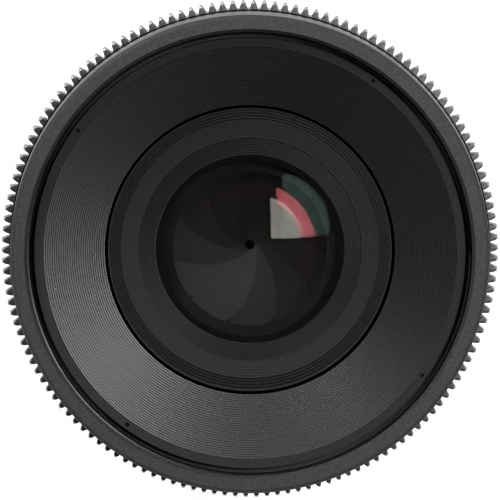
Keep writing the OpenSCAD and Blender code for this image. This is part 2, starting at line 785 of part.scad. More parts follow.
// bevelled retaining ring of the first element, with four spanner slots
module front_retainer() {
    inner = front_glass_r - 1.35;
    outer = cell_mouth_r - seat_clear;
    glass_in = first_v - sag(front_curve, inner);
    glass_out = first_v - sag(front_curve, front_glass_r);
    color("#141416") difference() {
        lathe([
            [inner, glass_in + 0.07], [outer, glass_out + 0.07],
            [outer, bezel_face(outer) - 0.1], [inner, glass_in + 0.35]
        ]);
        for (a = [58.5 : 90 : 328.5])
            rotate([0, 0, a]) translate([inner + 0.5, -0.7, glass_out + 0.5]) cube([3, 1.4, 4]);
    }
}

// spacer between the first element and the cemented pair
module front_spacer() {
    inner = pair_r - 0.8;
    foot = third_v - sag(third_curve, inner) + glass_gap;
    top = second_v - sag(second_curve, front_glass_r) - 0.1;
    color("#18181a") ring(inner, spacer_r, foot, top);
}

// first element, a positive meniscus
module glass_1() {
    color("#5f7f86", 0.4) difference() {
        intersection() {
            blank(front_glass_r, second_v - front_t, first_v + 1);
            front_ball(front_curve, first_v);
        }
        front_ball(second_curve, second_v);
    }
}

// second element, front half of the cemented pair
module glass_2() {
    color("#5f7f86", 0.4) difference() {
        intersection() {
            blank(pair_r, fourth_v - pair_front_t, third_v + 1);
            front_ball(third_curve, third_v);
        }
        front_ball(fourth_curve, fourth_v);
    }
}

// third element, rear half of the cemented pair
module glass_3() {
    color("#5f7f86", 0.4) difference() {
        intersection() {
            blank(pair_r, pair_end_z, fourth_v + 1);
            front_ball(fourth_curve, fourth_v);
        }
        front_ball(fifth_curve, fifth_v);
    }
}

// fourth element, hollow towards the iris
module glass_4() {
    color("#5f7f86", 0.4) difference() {
        blank(rear_glass_r, eighth_v, rear_end_z);
        rear_ball(sixth_curve, sixth_v);
        front_ball(seventh_curve, seventh_v);
    }
}

// fifth element, cemented to the fourth
module glass_5() {
    color("#5f7f86", 0.4) intersection() {
        blank(rear_glass_r, eighth_v - 1, seventh_v + 1);
        front_ball(seventh_curve, seventh_v);
        rear_ball(eighth_curve, eighth_v);
    }
}

// sixth element, biconvex
module glass_6() {
    color("#5f7f86", 0.4) intersection() {
        blank(rear_glass_r, tenth_v - 1, ninth_v + 1);
        front_ball(ninth_curve, ninth_v);
        rear_ball(tenth_curve, tenth_v);
    }
}

// seventh element, a meniscus
module glass_7() {
    color("#5f7f86", 0.4) difference() {
        intersection() {
            blank(rear_glass_r, twelfth_v - seventh_t, eleventh_v + 1);
            front_ball(eleventh_curve, eleventh_v);
        }
        front_ball(twelfth_curve, twelfth_v);
    }
}

// eighth element, behind the long air space
module glass_8() {
    color("#5f7f86", 0.4) difference() {
        intersection() {
            blank(rear_glass_r, fourteenth_v - 1, thirteenth_v + sag(thirteenth_curve, rear_glass_r));
            rear_ball(fourteenth_curve, fourteenth_v);
        }
        rear_ball(thirteenth_curve, thirteenth_v);
    }
}

// fixed plate with the blade pivot holes
module iris_base() {
    color("#3a3b3e") difference() {
        lathe([
            [hub_in_r, cam_z0], [hub_r, cam_z0], [hub_r, plate_z0], [tube_in_r - seat_clear, plate_z0],
            [tube_in_r - seat_clear, plate_z1], [hub_in_r, plate_z1]
        ]);
        for (k = [0 : blade_count - 1])
            blade_frame(k) translate([pivot_r, 0, 0])
                cylinder(r = pivot_pin_r + seat_clear, h = pivot_top + 2 * run_clear);
    }
}

// open ring that keeps the cam ring in place
module iris_snap_ring() {
    color("#6a6a6e") difference() {
        ring(bar_in_r + 0.2, tube_in_r - seat_clear, cam_z0 - 0.75, cam_z0 - 0.1);
        rotate([0, 0, bar_angle - iris_throw / 2])
            arc_slot(
                bar_in_r - 4, tube_in_r + 4, cam_z0 - 2, cam_z0 + 1,
                -iris_throw / 2 - sweep_margin, iris_throw / 2 + sweep_margin
            );
    }
}

// turning ring with one spiral slot per blade and the drive bar
module iris_cam_ring() {
    color("#8a7a4a") difference() {
        union() {
            ring(cam_in_r, cam_r, cam_z0, cam_z1);
            rotate([0, 0, bar_angle])
                translate([bar_in_r, -bar_w / 2, bar_z0])
                    cube([bar_r - bar_in_r, bar_w, cam_z1 - bar_z0]);
        }
        for (k = [0 : blade_count - 1])
            rotate([0, 0, iris_phase + 360 * k / blade_count])
                translate([0, 0, cam_z0 - 0.5])
                    cam_slot();
    }
}

// cutter for one spiral slot
module cam_slot() {
    along = [for (i = [0 : slot_steps]) i / slot_steps];
    linear_extrude(cam_t + 1) polygon(concat(
        [for (f = along) pin_path(f) + slot_half * pin_side(f)],
        [for (f = along) pin_path(1 - f) - slot_half * pin_side(1 - f)]
    ));
    for (f = [0, 1])
        translate(pin_path(f)) cylinder(r = slot_half, h = cam_t + 1);
}

// the leaning frame of one blade
module blade_frame(k) {
    translate([0, 0, iris_z])
        rotate([0, 0, iris_phase + 360 * k / blade_count])
            rotate([0, -blade_tilt, 0])
                children();
}

// one iris blade, drawn closed down
module blade(k) {
    outer = open_r + blade_w;
    far = outer * 1.3;
    tip_in = polar(open_r * 0.99, blade_tip_in);
    tip_out = polar(outer, blade_tip_out);
    color("#55565a") blade_frame(k)
        translate([pivot_r, 0, 0]) rotate([0, 0, blade_close]) translate([-pivot_r, 0, 0]) {
            intersection() {
                difference() {
                    cylinder(r = outer, h = blade_t);
                    translate([0, 0, -1]) cylinder(r = open_r, h = 3);
                }
                translate([0, 0, -0.5]) linear_extrude(2) polygon([
                    [0, 0], polar(far, blade_root), polar(far, 20), polar(far, 45), polar(far, 68),
                    tip_out + 0.5 * (tip_out - tip_in), tip_in
                ]);
            }
            translate([pivot_r, 0, 0]) {
                cylinder(r = 1.6, h = blade_t);
                cylinder(r = pivot_pin_r, h = pivot_top);
                rotate([0, 0, arm_angle]) {
                    translate([0, -arm_r, 0]) cube([arm_len, 2 * arm_r, blade_t]);
                    translate([arm_len, 0, 0]) {
                        cylinder(r = arm_r, h = blade_t);
                        cylinder(r = drive_pin_r, h = pin_top);
                    }
                }
            }
        }
}

// cell of the rear group
module rear_cell() {
    bore = rear_glass_r + seat_clear;
    color("#1d1e20") lathe([
        [bore, rear_cell_z0], [rear_cell_r - 1, rear_cell_z0], [rear_cell_r, rear_cell_z0 + 1],
        [rear_cell_r, cover_z0 - 1.4], [rear_cell_flange_r, cover_z0 - 1.4], [rear_cell_flange_r, cover_z0],
        [cover_in_r - 0.1, cover_z0], [cover_in_r - 0.1, cell_lip_z1], [rear_clear_r + 0.3, cell_lip_z1],
        [rear_clear_r + 0.3, rear_end_z], [bore, rear_end_z]
    ]);
}

// spacer between the fifth and the sixth element
module rear_spacer_a() {
    inner = rear_glass_r - 1.5;
    foot = ninth_v - sag(ninth_curve, inner) + glass_gap;
    top = eighth_v + sag(eighth_curve, inner) - glass_gap;
    color("#18181a") ring(inner, rear_glass_r, foot, top);
}

// spacer between the sixth and the seventh element
module rear_spacer_b() {
    inner = rear_glass_r - 1.5;
    foot = eleventh_v - sag(eleventh_curve, inner) + glass_gap;
    top = tenth_v + sag(tenth_curve, inner) - glass_gap;
    color("#18181a") ring(inner, rear_glass_r, foot, top);
}

// long spacer between the seventh and the eighth element
module rear_spacer_c() {
    inner = rear_glass_r - 1.8;
    foot = thirteenth_v + sag(thirteenth_curve, rear_glass_r) + glass_gap;
    top = twelfth_v - sag(twelfth_curve, rear_glass_r) - glass_gap;
    color("#18181a") ring(inner, rear_glass_r, foot, top);
}

// retaining ring behind the eighth element
module rear_retainer() {
    inner = rear_glass_r - rear_lip_w;
    top = fourteenth_v + sag(fourteenth_curve, inner) - glass_gap;
    color("#141416") lathe([
        [inner + 1, rear_cell_z0 + 0.5], [rear_glass_r, rear_cell_z0 + 0.5], [rear_glass_r, top], [inner, top]
    ]);
}

mount_ring();
mount_shim();
mount_screws();
rear_baffle();
rear_barrel();
main_barrel();
barrel_screws();
index_ring();
front_rim();
front_baffle();
focus_ring();
focus_gear();
cam_sleeve();
sleeve_screws();
iris_ring();
iris_gear();
iris_fork();
carriage_tube();
follower_pins();
front_bezel();
front_cell();
front_retainer();
front_spacer();
glass_1();
glass_2();
glass_3();
glass_4();
glass_5();
glass_6();
glass_7();
glass_8();
iris_base();
iris_snap_ring();
rear_cell();
rear_spacer_a();
rear_spacer_b();
rear_spacer_c();
rear_retainer();
iris_cam_ring();
blade(0);  // blade_1
blade(1);  // blade_2
blade(2);  // blade_3
blade(3);  // blade_4
blade(4);  // blade_5
blade(5);  // blade_6
blade(6);  // blade_7
blade(7);  // blade_8
blade(8);  // blade_9
blade(9);  // blade_10
blade(10);  // blade_11
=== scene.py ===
# %% [markdown]
# # A cinema prime lens
# The CAD frame holds the fifty pieces of a geared cine lens that stands on its mount and looks
# up, with +Z along the optical axis. This lesson gives the pieces their finishes, models the
# ones that need finer shapes than the frame has, and lights the lens as on a white table.
# Lengths of the lens are written in millimetres, and MM turns them into Blender's metres.

# %% Load the frame
import math
import bmesh
import bpy
from mathutils import Matrix, Vector


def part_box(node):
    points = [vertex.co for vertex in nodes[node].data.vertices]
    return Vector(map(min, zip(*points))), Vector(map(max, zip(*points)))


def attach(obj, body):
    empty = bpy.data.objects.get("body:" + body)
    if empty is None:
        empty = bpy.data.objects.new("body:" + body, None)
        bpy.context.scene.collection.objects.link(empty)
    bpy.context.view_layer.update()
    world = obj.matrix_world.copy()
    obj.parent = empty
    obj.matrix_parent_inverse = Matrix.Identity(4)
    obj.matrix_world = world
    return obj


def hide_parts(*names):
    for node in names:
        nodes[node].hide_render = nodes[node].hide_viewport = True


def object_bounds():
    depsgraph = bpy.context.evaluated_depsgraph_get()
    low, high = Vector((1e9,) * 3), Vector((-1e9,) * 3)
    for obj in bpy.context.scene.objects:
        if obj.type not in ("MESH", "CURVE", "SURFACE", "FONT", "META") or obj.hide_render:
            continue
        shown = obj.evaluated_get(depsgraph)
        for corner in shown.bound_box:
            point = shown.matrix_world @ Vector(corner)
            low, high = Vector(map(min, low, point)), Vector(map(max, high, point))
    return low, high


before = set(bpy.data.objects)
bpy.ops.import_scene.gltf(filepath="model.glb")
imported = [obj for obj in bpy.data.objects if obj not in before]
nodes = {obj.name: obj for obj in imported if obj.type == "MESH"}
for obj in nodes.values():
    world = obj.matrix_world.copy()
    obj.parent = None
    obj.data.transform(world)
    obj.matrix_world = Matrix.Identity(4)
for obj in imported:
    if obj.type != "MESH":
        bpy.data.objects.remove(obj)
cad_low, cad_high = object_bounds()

MM = 0.001
print("CAD nodes:", len(nodes), "box in mm:", [round(c / MM, 2) for c in (*cad_low, *cad_high)])

# %% [markdown]
# ## Colours and nodes
# A finish is written as a web colour, as a paint card would give it, while the shader works in
# linear light, so one function converts it. Two more turn a real size in millimetres into the
# scale of a pattern: noise has one grain in a unit, and the wave node fits 20 / (2 pi) rings
# into it. A last small function adds a node, fills its sockets and links them. That keeps each
# finish below to a few lines.

# %% Helpers for finishes
WAVE_FACTOR = 20


def colour(hex_code):
    shares = [int(hex_code[i:i + 2], 16) / 255 for i in (1, 3, 5)]
    linear = [s / 12.92 if s <= 0.04045 else ((s + 0.055) / 1.055) ** 2.4 for s in shares]
    return (*linear, 1.0)


def noise_scale(grain_mm):
    return 1 / (grain_mm * MM)


def ring_scale(spacing_mm):
    return 2 * math.pi / (WAVE_FACTOR * spacing_mm * MM)


def add_node(tree, kind, sockets=None, **settings):
    node = tree.nodes.new(kind)
    for name, value in settings.items():
        setattr(node, name, value)
    for name, value in (sockets or {}).items():
        if isinstance(value, bpy.types.NodeSocket):
            tree.links.new(value, node.inputs[name])
        else:
            node.inputs[name].default_value = value
    return node


def new_finish(name):
    finish = bpy.data.materials.new(name)
    finish.use_nodes = True
    tree = finish.node_tree
    tree.nodes.clear()
    place = add_node(tree, "ShaderNodeTexCoord").outputs["Object"]
    out = add_node(tree, "ShaderNodeOutputMaterial")
    return finish, tree, place, out


print("middle grey in linear light:", round(colour("#808080")[0], 3))

# %% [markdown]
# ## Bead-blasted black anodising
# The outer rings are aluminium that was blasted with glass beads and then anodised black. The
# blasting leaves a fine grain with pale sparkles, and handling polishes it unevenly. The real
# pits are about 0.1 mm wide; they are drawn at 0.3 mm here, because a pixel of the picture
# covers 0.24 mm. Noise drives the colour, the roughness and the bump together. With a weaker
# grain the same function serves the other dull skins further down.

# %% Bead-blasted anodised aluminium
HANDLED_PATCH, PIT_DEPTH = 14, 0.06


def grained_skin(name, dark, pale, pit=0.3, rough=0.5, bump=0.35, gloss=0.4):
    finish, tree, place, out = new_finish(name)
    grain = add_node(tree, "ShaderNodeTexNoise", {
        "Vector": place, "Scale": noise_scale(pit), "Detail": 2.0, "Roughness": 0.6})
    cloud = add_node(tree, "ShaderNodeTexNoise", {
        "Vector": place, "Scale": noise_scale(HANDLED_PATCH), "Detail": 3.0})
    tone = add_node(tree, "ShaderNodeValToRGB", {"Fac": grain.outputs["Fac"]})
    for stop, position, tint in zip(tone.color_ramp.elements, (0.32, 0.74), (dark, pale)):
        stop.position, stop.color = position, colour(tint)
    dull = add_node(tree, "ShaderNodeMapRange", {
        "Value": cloud.outputs["Fac"], "From Min": 0.3, "From Max": 0.7,
        "To Min": rough - 0.06, "To Max": rough + 0.08})
    pits = add_node(tree, "ShaderNodeBump", {
        "Height": grain.outputs["Fac"], "Strength": bump, "Distance": PIT_DEPTH * MM})
    shader = add_node(tree, "ShaderNodeBsdfPrincipled", {
        "Base Color": tone.outputs["Color"], "Roughness": dull.outputs["Result"],
        "Normal": pits.outputs["Normal"], "Specular IOR Level": gloss})
    tree.links.new(shader.outputs["BSDF"], out.inputs["Surface"])
    return finish


# A sparkling charcoal, for the rim and the index ring.
rim_anodising = grained_skin("anodised_aluminium_bead_blasted", "#1e1e20", "#414143", gloss=0.3)
# Smoother and a little shinier, for the rings that a hand turns.
barrel_anodising = grained_skin(
    "anodised_aluminium_fine_satin", "#1c1d1f", "#34353a", pit=0.25, rough=0.42, bump=0.2)
print("blasted finishes made")

# %% [markdown]
# ## Turned matte black
# The cone, the bezel and the cells are turned on a lathe and blackened. The tool leaves rings
# about 0.1 mm apart, drawn at 0.2 mm, and they make the light fan out across the turning. A
# wave texture in rings about the Z axis gives them without any modelling.

# %% Turned and blackened aluminium
DUST_GRAIN, BLACK_RING_DEPTH = 0.5, 0.03


def turned_black(name, dark, pale, ring=0.2, rough=0.5, bump=0.25, gloss=0.35):
    finish, tree, place, out = new_finish(name)
    rings = add_node(tree, "ShaderNodeTexWave", {
        "Vector": place, "Scale": ring_scale(ring), "Distortion": 1.5,
        "Detail": 2.0, "Detail Scale": 0.6}, wave_type="RINGS", rings_direction="Z")
    dust = add_node(tree, "ShaderNodeTexNoise", {
        "Vector": place, "Scale": noise_scale(DUST_GRAIN), "Detail": 3.0})
    tone = add_node(tree, "ShaderNodeValToRGB", {"Fac": dust.outputs["Fac"]})
    for stop, position, tint in zip(tone.color_ramp.elements, (0.3, 0.75), (dark, pale)):
        stop.position, stop.color = position, colour(tint)
    ridges = add_node(tree, "ShaderNodeBump", {
        "Height": rings.outputs["Fac"], "Strength": bump, "Distance": BLACK_RING_DEPTH * MM})
    dull = add_node(tree, "ShaderNodeMapRange", {
        "Value": dust.outputs["Fac"], "To Min": rough - 0.08, "To Max": rough + 0.08})
    shader = add_node(tree, "ShaderNodeBsdfPrincipled", {
        "Base Color": tone.outputs["Color"], "Roughness": dull.outputs["Result"],
        "Normal": ridges.outputs["Normal"], "Specular IOR Level": gloss})
    tree.links.new(shader.outputs["BSDF"], out.inputs["Surface"])
    return finish


# Satin enough for the lamps to draw bright fans on the cone.
cone_black = turned_black(
    "aluminium_turned_satin_black", "#0f0f10", "#161617", rough=0.39, bump=0.05, gloss=0.5)
# A flat dark grey that shows its ridges but no highlight.
bezel_black = turned_black(
    "aluminium_turned_matte_black", "#202021", "#2a2a2b", rough=0.6, bump=0.1, gloss=0.12)
# Almost black, with a faint sheen in the fine grooves round the glass.
cell_black = turned_black(
    "aluminium_turned_dense_black", "#0e0e0f", "#141415", rough=0.43, bump=0.1, gloss=0.15)
# Swallows the light behind the glass; in slits and gaps it is painted shade.
black_and_gap_shade = turned_black(
    "aluminium_turned_deep_black_and_gap_shade", "#060606", "#0b0b0b", rough=0.7, bump=0.05, gloss=0.03)
# The worn grey of gear teeth.
gear_black = turned_black(
    "aluminium_turned_gear_grey", "#3a3a3d", "#4c4c4f", ring=0.25, rough=0.4, bump=0.3,
    gloss=0.4)
print("turned finishes made")

# %% [markdown]
# ## Bare metals and plastic
# The mount is turned stainless steel, its shim and the iris cam are brass, the inner tubes are
# aluminium with a dull clear anodising, the bevels of the gear teeth are bare aluminium, pale
# partly as a painted highlight, the lip of the rim shines through a thin anodising, the blades
# are blackened spring steel, and the light trap is moulded plastic. The metals share the turning
# rings; only colour and gloss differ.

# %% Metals, blades and plastic
SMEAR_PATCH, METAL_RING, METAL_RING_DEPTH, METAL_BUMP = 6, 0.25, 0.02, 0.12


def turned_metal(name, tint, rough=0.28):
    finish, tree, place, out = new_finish(name)
    rings = add_node(tree, "ShaderNodeTexWave", {
        "Vector": place, "Scale": ring_scale(METAL_RING), "Distortion": 2.0,
        "Detail": 2.0}, wave_type="RINGS", rings_direction="Z")
    smear = add_node(tree, "ShaderNodeTexNoise", {
        "Vector": place, "Scale": noise_scale(SMEAR_PATCH), "Detail": 4.0})
    dull = add_node(tree, "ShaderNodeMapRange", {
        "Value": smear.outputs["Fac"], "From Min": 0.3, "From Max": 0.7,
        "To Min": rough - 0.07, "To Max": rough + 0.1})
    ridges = add_node(tree, "ShaderNodeBump", {
        "Height": rings.outputs["Fac"], "Strength": METAL_BUMP,
        "Distance": METAL_RING_DEPTH * MM})
    shader = add_node(tree, "ShaderNodeBsdfPrincipled", {
        "Base Color": colour(tint), "Metallic": 1.0, "Roughness": dull.outputs["Result"],
        "Normal": ridges.outputs["Normal"]})
    tree.links.new(shader.outputs["BSDF"], out.inputs["Surface"])
    return finish


# Steel and brass shine across the turning, the clear anodising is milky.
stainless = turned_metal("stainless_steel_turned", "#bdbbb6")
brass = turned_metal("brass_turned", "#b6945a")
tube_metal = turned_metal("aluminium_clear_anodised", "#8e9094", rough=0.45)
# Two thin bright lines: the cut bevels of the teeth, pale partly as a painted highlight, and the
# lip of the rim.
cut_metal_and_highlight = turned_metal("aluminium_cut_bare_and_painted_highlight", "#c3c4c6", rough=0.4)
lip_metal = turned_metal("aluminium_thin_anodised", "#232324", rough=0.24)
# Dark and smooth, so that each blade takes its own soft shade.
blade_steel = grained_skin(
    "spring_steel_blackened", "#050404", "#080707", pit=0.5, rough=0.34, bump=0.03, gloss=0.075)
# Dull, with the spark-eroded grain of its mould.
trap_plastic = grained_skin(
    "abs_moulded_matte", "#141415", "#1c1c1d", pit=0.4, rough=0.6, bump=0.2)
print("metals, blades and plastic made")

# %% [markdown]
# ## Paint for the scales
# Engraved numerals are filled with enamel, which dries slightly uneven. A little noise in the
# colour and the roughness is enough at this size.

# %% Enamel paint
DRYING_GRAIN = 0.4


def enamel(name, tint, shade):
    finish, tree, place, out = new_finish(name)
    uneven = add_node(tree, "ShaderNodeTexNoise", {
        "Vector": place, "Scale": noise_scale(DRYING_GRAIN)})
    tone = add_node(tree, "ShaderNodeValToRGB", {"Fac": uneven.outputs["Fac"]})
    for stop, stop_tint in zip(tone.color_ramp.elements, (shade, tint)):
        stop.color = colour(stop_tint)
    dull = add_node(tree, "ShaderNodeMapRange", {
        "Value": uneven.outputs["Fac"], "To Min": 0.35, "To Max": 0.6})
    shader = add_node(tree, "ShaderNodeBsdfPrincipled", {
        "Base Color": tone.outputs["Color"], "Roughness": dull.outputs["Result"]})
    tree.links.new(shader.outputs["BSDF"], out.inputs["Surface"])
    return finish


white_enamel = enamel("enamel_white", "#e4e2dc", "#c9c7c0")
red_enamel = enamel("enamel_red", "#c8322b", "#a32822")
print("enamels made")

# %% [markdown]
# ## Coated glass
# Each polished face has a thin coating that kills most of the reflection and tints the rest, so
# every kind of coat gets a glass of its own. Bare glass would throw back about 5 % of the light.
# The coat keeps a share of that, written into the specular tint, which is what scales the
# reflection of a clear body in this shader. Light that only makes shadows passes straight
# through, so that the iris behind the front elements is lit.

# %% Glass with a coating
WIPED_PATCH, WIPED_ROUGH = 9, 0.004
GLASS_INDEX, GLASS_TINT = 1.6, "#fdfbfa"
PASSED_LIGHT = (0.97, 0.98, 0.97, 1.0)


def coated_glass(name, tint, share):
    finish, tree, place, out = new_finish(name)
    wipe = add_node(tree, "ShaderNodeTexNoise", {
        "Vector": place, "Scale": noise_scale(WIPED_PATCH), "Detail": 4.0})
    film = add_node(tree, "ShaderNodeMapRange", {
        "Value": wipe.outputs["Fac"], "From Min": 0.45, "From Max": 0.8,
        "To Min": 0.0, "To Max": WIPED_ROUGH})
    shader = add_node(tree, "ShaderNodeBsdfPrincipled", {
        "Base Color": colour(GLASS_TINT), "Transmission Weight": 1.0, "IOR": GLASS_INDEX,
        "Roughness": film.outputs["Result"],
        "Specular Tint": [c * share for c in colour(tint)]})
    clear = add_node(tree, "ShaderNodeBsdfTransparent", {"Color": PASSED_LIGHT})
    path = add_node(tree, "ShaderNodeLightPath")
    pass_on = add_node(tree, "ShaderNodeMixShader", {0: path.outputs["Is Shadow Ray"]})
    tree.links.new(shader.outputs["BSDF"], pass_on.inputs[1])
    tree.links.new(clear.outputs["BSDF"], pass_on.inputs[2])
    tree.links.new(pass_on.outputs["Shader"], out.inputs["Surface"])
    return finish


# The first three draw the green, the pink and the pale image of the lamp.
coat_green = coated_glass("optical_glass_green_coat", "#d0fff1", 0.031)
coat_pink = coated_glass("optical_glass_pink_coat", "#ff6f81", 0.5)
coat_pale = coated_glass("optical_glass_pale_coat", "#f8fffa", 0.36)
# These two stay dark; the second also leaves a face bare outside a coat zone, as painted shade on
# the lamp's image.
coat_dim = coated_glass("optical_glass_dim_coat", "#ffffff", 0.01)
coat_none = coated_glass("optical_glass_cemented_face_and_zone_shade", "#ffffff", 0.001)
# Ground glass under a dull black paint.
edge_paint = grained_skin("edge_paint_black", "#0d0d0e", "#161617", pit=0.4, rough=0.6)
print("coated glass made")

# %% [markdown]
# ## A lathe
# Nearly every piece of a lens is turned, so one helper does what a lathe does. A tiny plane is
# merged into one point, the point is extruded along the half section, and the line is spun
# about Z. The seam is merged and the normals are turned outwards before it is shaded.

# %% The lathe helpers
WELD = 1e-6


def start_point(r, z):
    bpy.ops.object.select_all(action="DESELECT")
    bpy.ops.mesh.primitive_plane_add(size=MM, location=(r * MM, 0, z * MM))
    bpy.ops.object.transform_apply(location=True, rotation=True, scale=True)
    bpy.ops.object.mode_set(mode="EDIT")
    bpy.ops.mesh.select_all(action="SELECT")
    bpy.ops.mesh.merge(type="CENTER")
    return bpy.context.object


def draw_on(dr, dz):
    bpy.ops.mesh.extrude_region_move(
        TRANSFORM_OT_translate={"value": (dr * MM, 0, dz * MM)})


def turned(name, outline, finish, closed=True, steps=240, crease_deg=25):
    piece = start_point(*outline[0])
    piece.name = piece.data.name = name
    for (r0, z0), (r1, z1) in zip(outline, outline[1:] + (outline[:1] if closed else [])):
        draw_on(r1 - r0, z1 - z0)
    bpy.ops.mesh.select_all(action="SELECT")
    bpy.ops.mesh.remove_doubles(threshold=WELD)
    bpy.ops.mesh.spin(steps=steps, angle=2 * math.pi, center=(0, 0, 0), axis=(0, 0, 1))
    bpy.ops.mesh.select_all(action="SELECT")
    bpy.ops.mesh.remove_doubles(threshold=WELD)
    bpy.ops.mesh.normals_make_consistent(inside=False)
    bpy.ops.object.mode_set(mode="OBJECT")
    bpy.ops.object.shade_smooth_by_angle(angle=math.radians(crease_deg))
    piece.data.materials.clear()
    piece.data.materials.append(finish)
    print(name, "turned, faces:", len(piece.data.polygons))
    return piece


# %% [markdown]
# ## Optical elements
# The eight elements are ground to spheres, so each is spun from two real arcs, given by the
# height of the vertex on the axis, the radius of the curve and the way it bulges. The faces
# are then sorted by their place into front coat, rear coat and edge, which is ground and painted
# black. Two faces that are cemented together reflect nothing. In the photograph the pink and the
# pale image of the lamp each end on a circle, where an edge in front shades the lamp's light, so
# these two coats only fill a zone and are left off outside it as painted shade on the image.

# %% The element helpers
ARC_STEPS = 28
FRONT_COAT, REAR_COAT, EDGE, OUT_OF_ZONE_SHADE = range(4)
EDGE_LEAN, FLAT_FROM = 0.2, 0.995


def off_axis(face):
    return math.hypot(face.center.x, face.center.y) / MM


def sag(radius, r):
    return radius - math.sqrt(radius * radius - r * r)


def arc(vertex, radius, way, reach):
    return [(reach * k / ARC_STEPS, vertex + way * sag(radius, reach * k / ARC_STEPS))
            for k in range(ARC_STEPS + 1)]


def element(number, rim_r, front, rear, coats, front_clear=None, rear_clear=None, lit_reflection_zone=None):
    outline = arc(*front, front_clear or rim_r)
    if front_clear:
        outline.append((rim_r, outline[-1][1]))
    back = arc(*rear, rear_clear or rim_r)
    if rear_clear:
        back.append((rim_r, back[-1][1]))
    piece = turned(f"element_{number}", outline + back[::-1], coats[0], closed=False, steps=180,
                   crease_deg=20)
    for finish in (coats[1], edge_paint, coat_none):
        piece.data.materials.append(finish)
    side, r_from, r_to = lit_reflection_zone or (0, 0, rim_r)
    for face in piece.data.polygons:
        r, looks_up = off_axis(face), face.normal.z > 0
        clear_r = (front_clear if looks_up else rear_clear) or math.inf
        if abs(face.normal.z) < EDGE_LEAN or r > FLAT_FROM * clear_r:
            face.material_index = EDGE
        # Outside its zone a coat is left off, as painted shade that ends the lamp's image on a
        # circle.
        elif side * face.normal.z > 0 and not r_from < r < r_to:
            face.material_index = OUT_OF_ZONE_SHADE
        else:
            face.material_index = FRONT_COAT if looks_up else REAR_COAT
    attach(piece, "optical_unit")
    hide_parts(f"glass_{number}")


# %% Spin the elements
# A face is (height of its vertex, radius of its curve, -1 to fall from the vertex or 1 to rise).
# A lit reflection zone is (1 for the front or -1 for the rear, where it starts, where it ends);
# outside it the face is left uncoated as painted shade on the lamp's image.
FRONT_R, PAIR_R, REAR_R = 22.3, 18.8, 18.0
element(1, FRONT_R, (84.6, 80, -1), (79.4, 170, -1), (coat_green, coat_dim))
element(2, PAIR_R, (78.9, 50, -1), (72.905, 160, -1), (coat_pink, coat_none),
        lit_reflection_zone=(1, 12.0, 15.5))
element(3, PAIR_R, (72.895, 160, -1), (71.1, 38, -1), (coat_none, coat_pale), rear_clear=17.2,
        lit_reflection_zone=(-1, 0, 11.7))
element(4, REAR_R, (55.4206, 26, 1), (53.6256, 70, -1), (coat_green, coat_none), front_clear=15.5)
element(5, REAR_R, (53.6156, 70, -1), (45.1206, 36, 1), (coat_none, coat_green))
element(6, REAR_R, (44.6206, 90, -1), (39.2206, 75, 1), (coat_pale, coat_green))
element(7, REAR_R, (38.7206, 60, -1), (34.7206, 220, -1), (coat_green, coat_green))
element(8, REAR_R, (18.8206, 80, 1), (15.8206, 300, 1), (coat_green, coat_pale))

# %% [markdown]
# ## Focus and iris gears
# Both gears have the cine module of 0.8 mm, so that any follow-focus fits. A circle with eight
# points for each tooth is shaped by scaling: three points go out to the tip, two stay on the
# pitch circle and three go in to the root. The ring is then extruded up in steps, with the tips
# turned down a little at both faces, and closed round its bore. A small bevel breaks the edges.
# The bevels show bare metal, pale partly as a painted highlight, and the land below the teeth is
# black as painted shade in the gap by the rim, as in the photograph.

# %% Helpers for picking points and finishing a gear
GEAR_FLANK, GEAR_BEVEL, GEAR_LAND = range(3)
BEVEL_LEAN_FROM, BEVEL_LEAN_TO = 0.4, 0.9
BROKEN_EDGE, BROKEN_FROM_DEG, GEAR_CREASE_DEG = 0.07, 40, 25


def pick(piece, rule):
    sheet = bmesh.from_edit_mesh(piece.data)
    for v in sheet.verts:
        v.select = rule(v)
    sheet.select_flush_mode()
    bmesh.update_edit_mesh(piece.data)
    return picked(piece)


def picked(piece):
    return {v.index for v in bmesh.from_edit_mesh(piece.data).verts if v.select}


def finish_gear(piece, land):
    edge = piece.modifiers.new("broken_edges", "BEVEL")
    edge.width, edge.segments = BROKEN_EDGE * MM, 1
    edge.limit_method, edge.angle_limit = "ANGLE", math.radians(BROKEN_FROM_DEG)
    bpy.ops.object.modifier_apply(modifier="broken_edges")
    bpy.ops.object.shade_smooth_by_angle(angle=math.radians(GEAR_CREASE_DEG))
    for finish in (gear_black, cut_metal_and_highlight, black_and_gap_shade):
        piece.data.materials.append(finish)
    for face in piece.data.polygons:
        # The land below the teeth takes the deep black as painted shade in the gap under the rim.
        if off_axis(face) < land:
            face.material_index = GEAR_LAND
        # Faces that lean partly up take the pale cut metal: bare bevels, partly a painted
        # highlight.
        elif BEVEL_LEAN_FROM < face.normal.z < BEVEL_LEAN_TO:
            face.material_index = GEAR_BEVEL
        else:
            face.material_index = GEAR_FLANK
    print(piece.name, "faces:", len(piece.data.polygons))


# %% The gear helper
GEAR_MODULE, ROOT_MODULES, GEAR_PHASE_DEG = 0.8, 1.25, 0.3
TIP_BEVEL, LAND_DROP = 0.45, 0.1
POINTS = 8
TIPS, FLANKS, ROOTS = (0, 1, 7), (2, 6), (3, 4, 5)


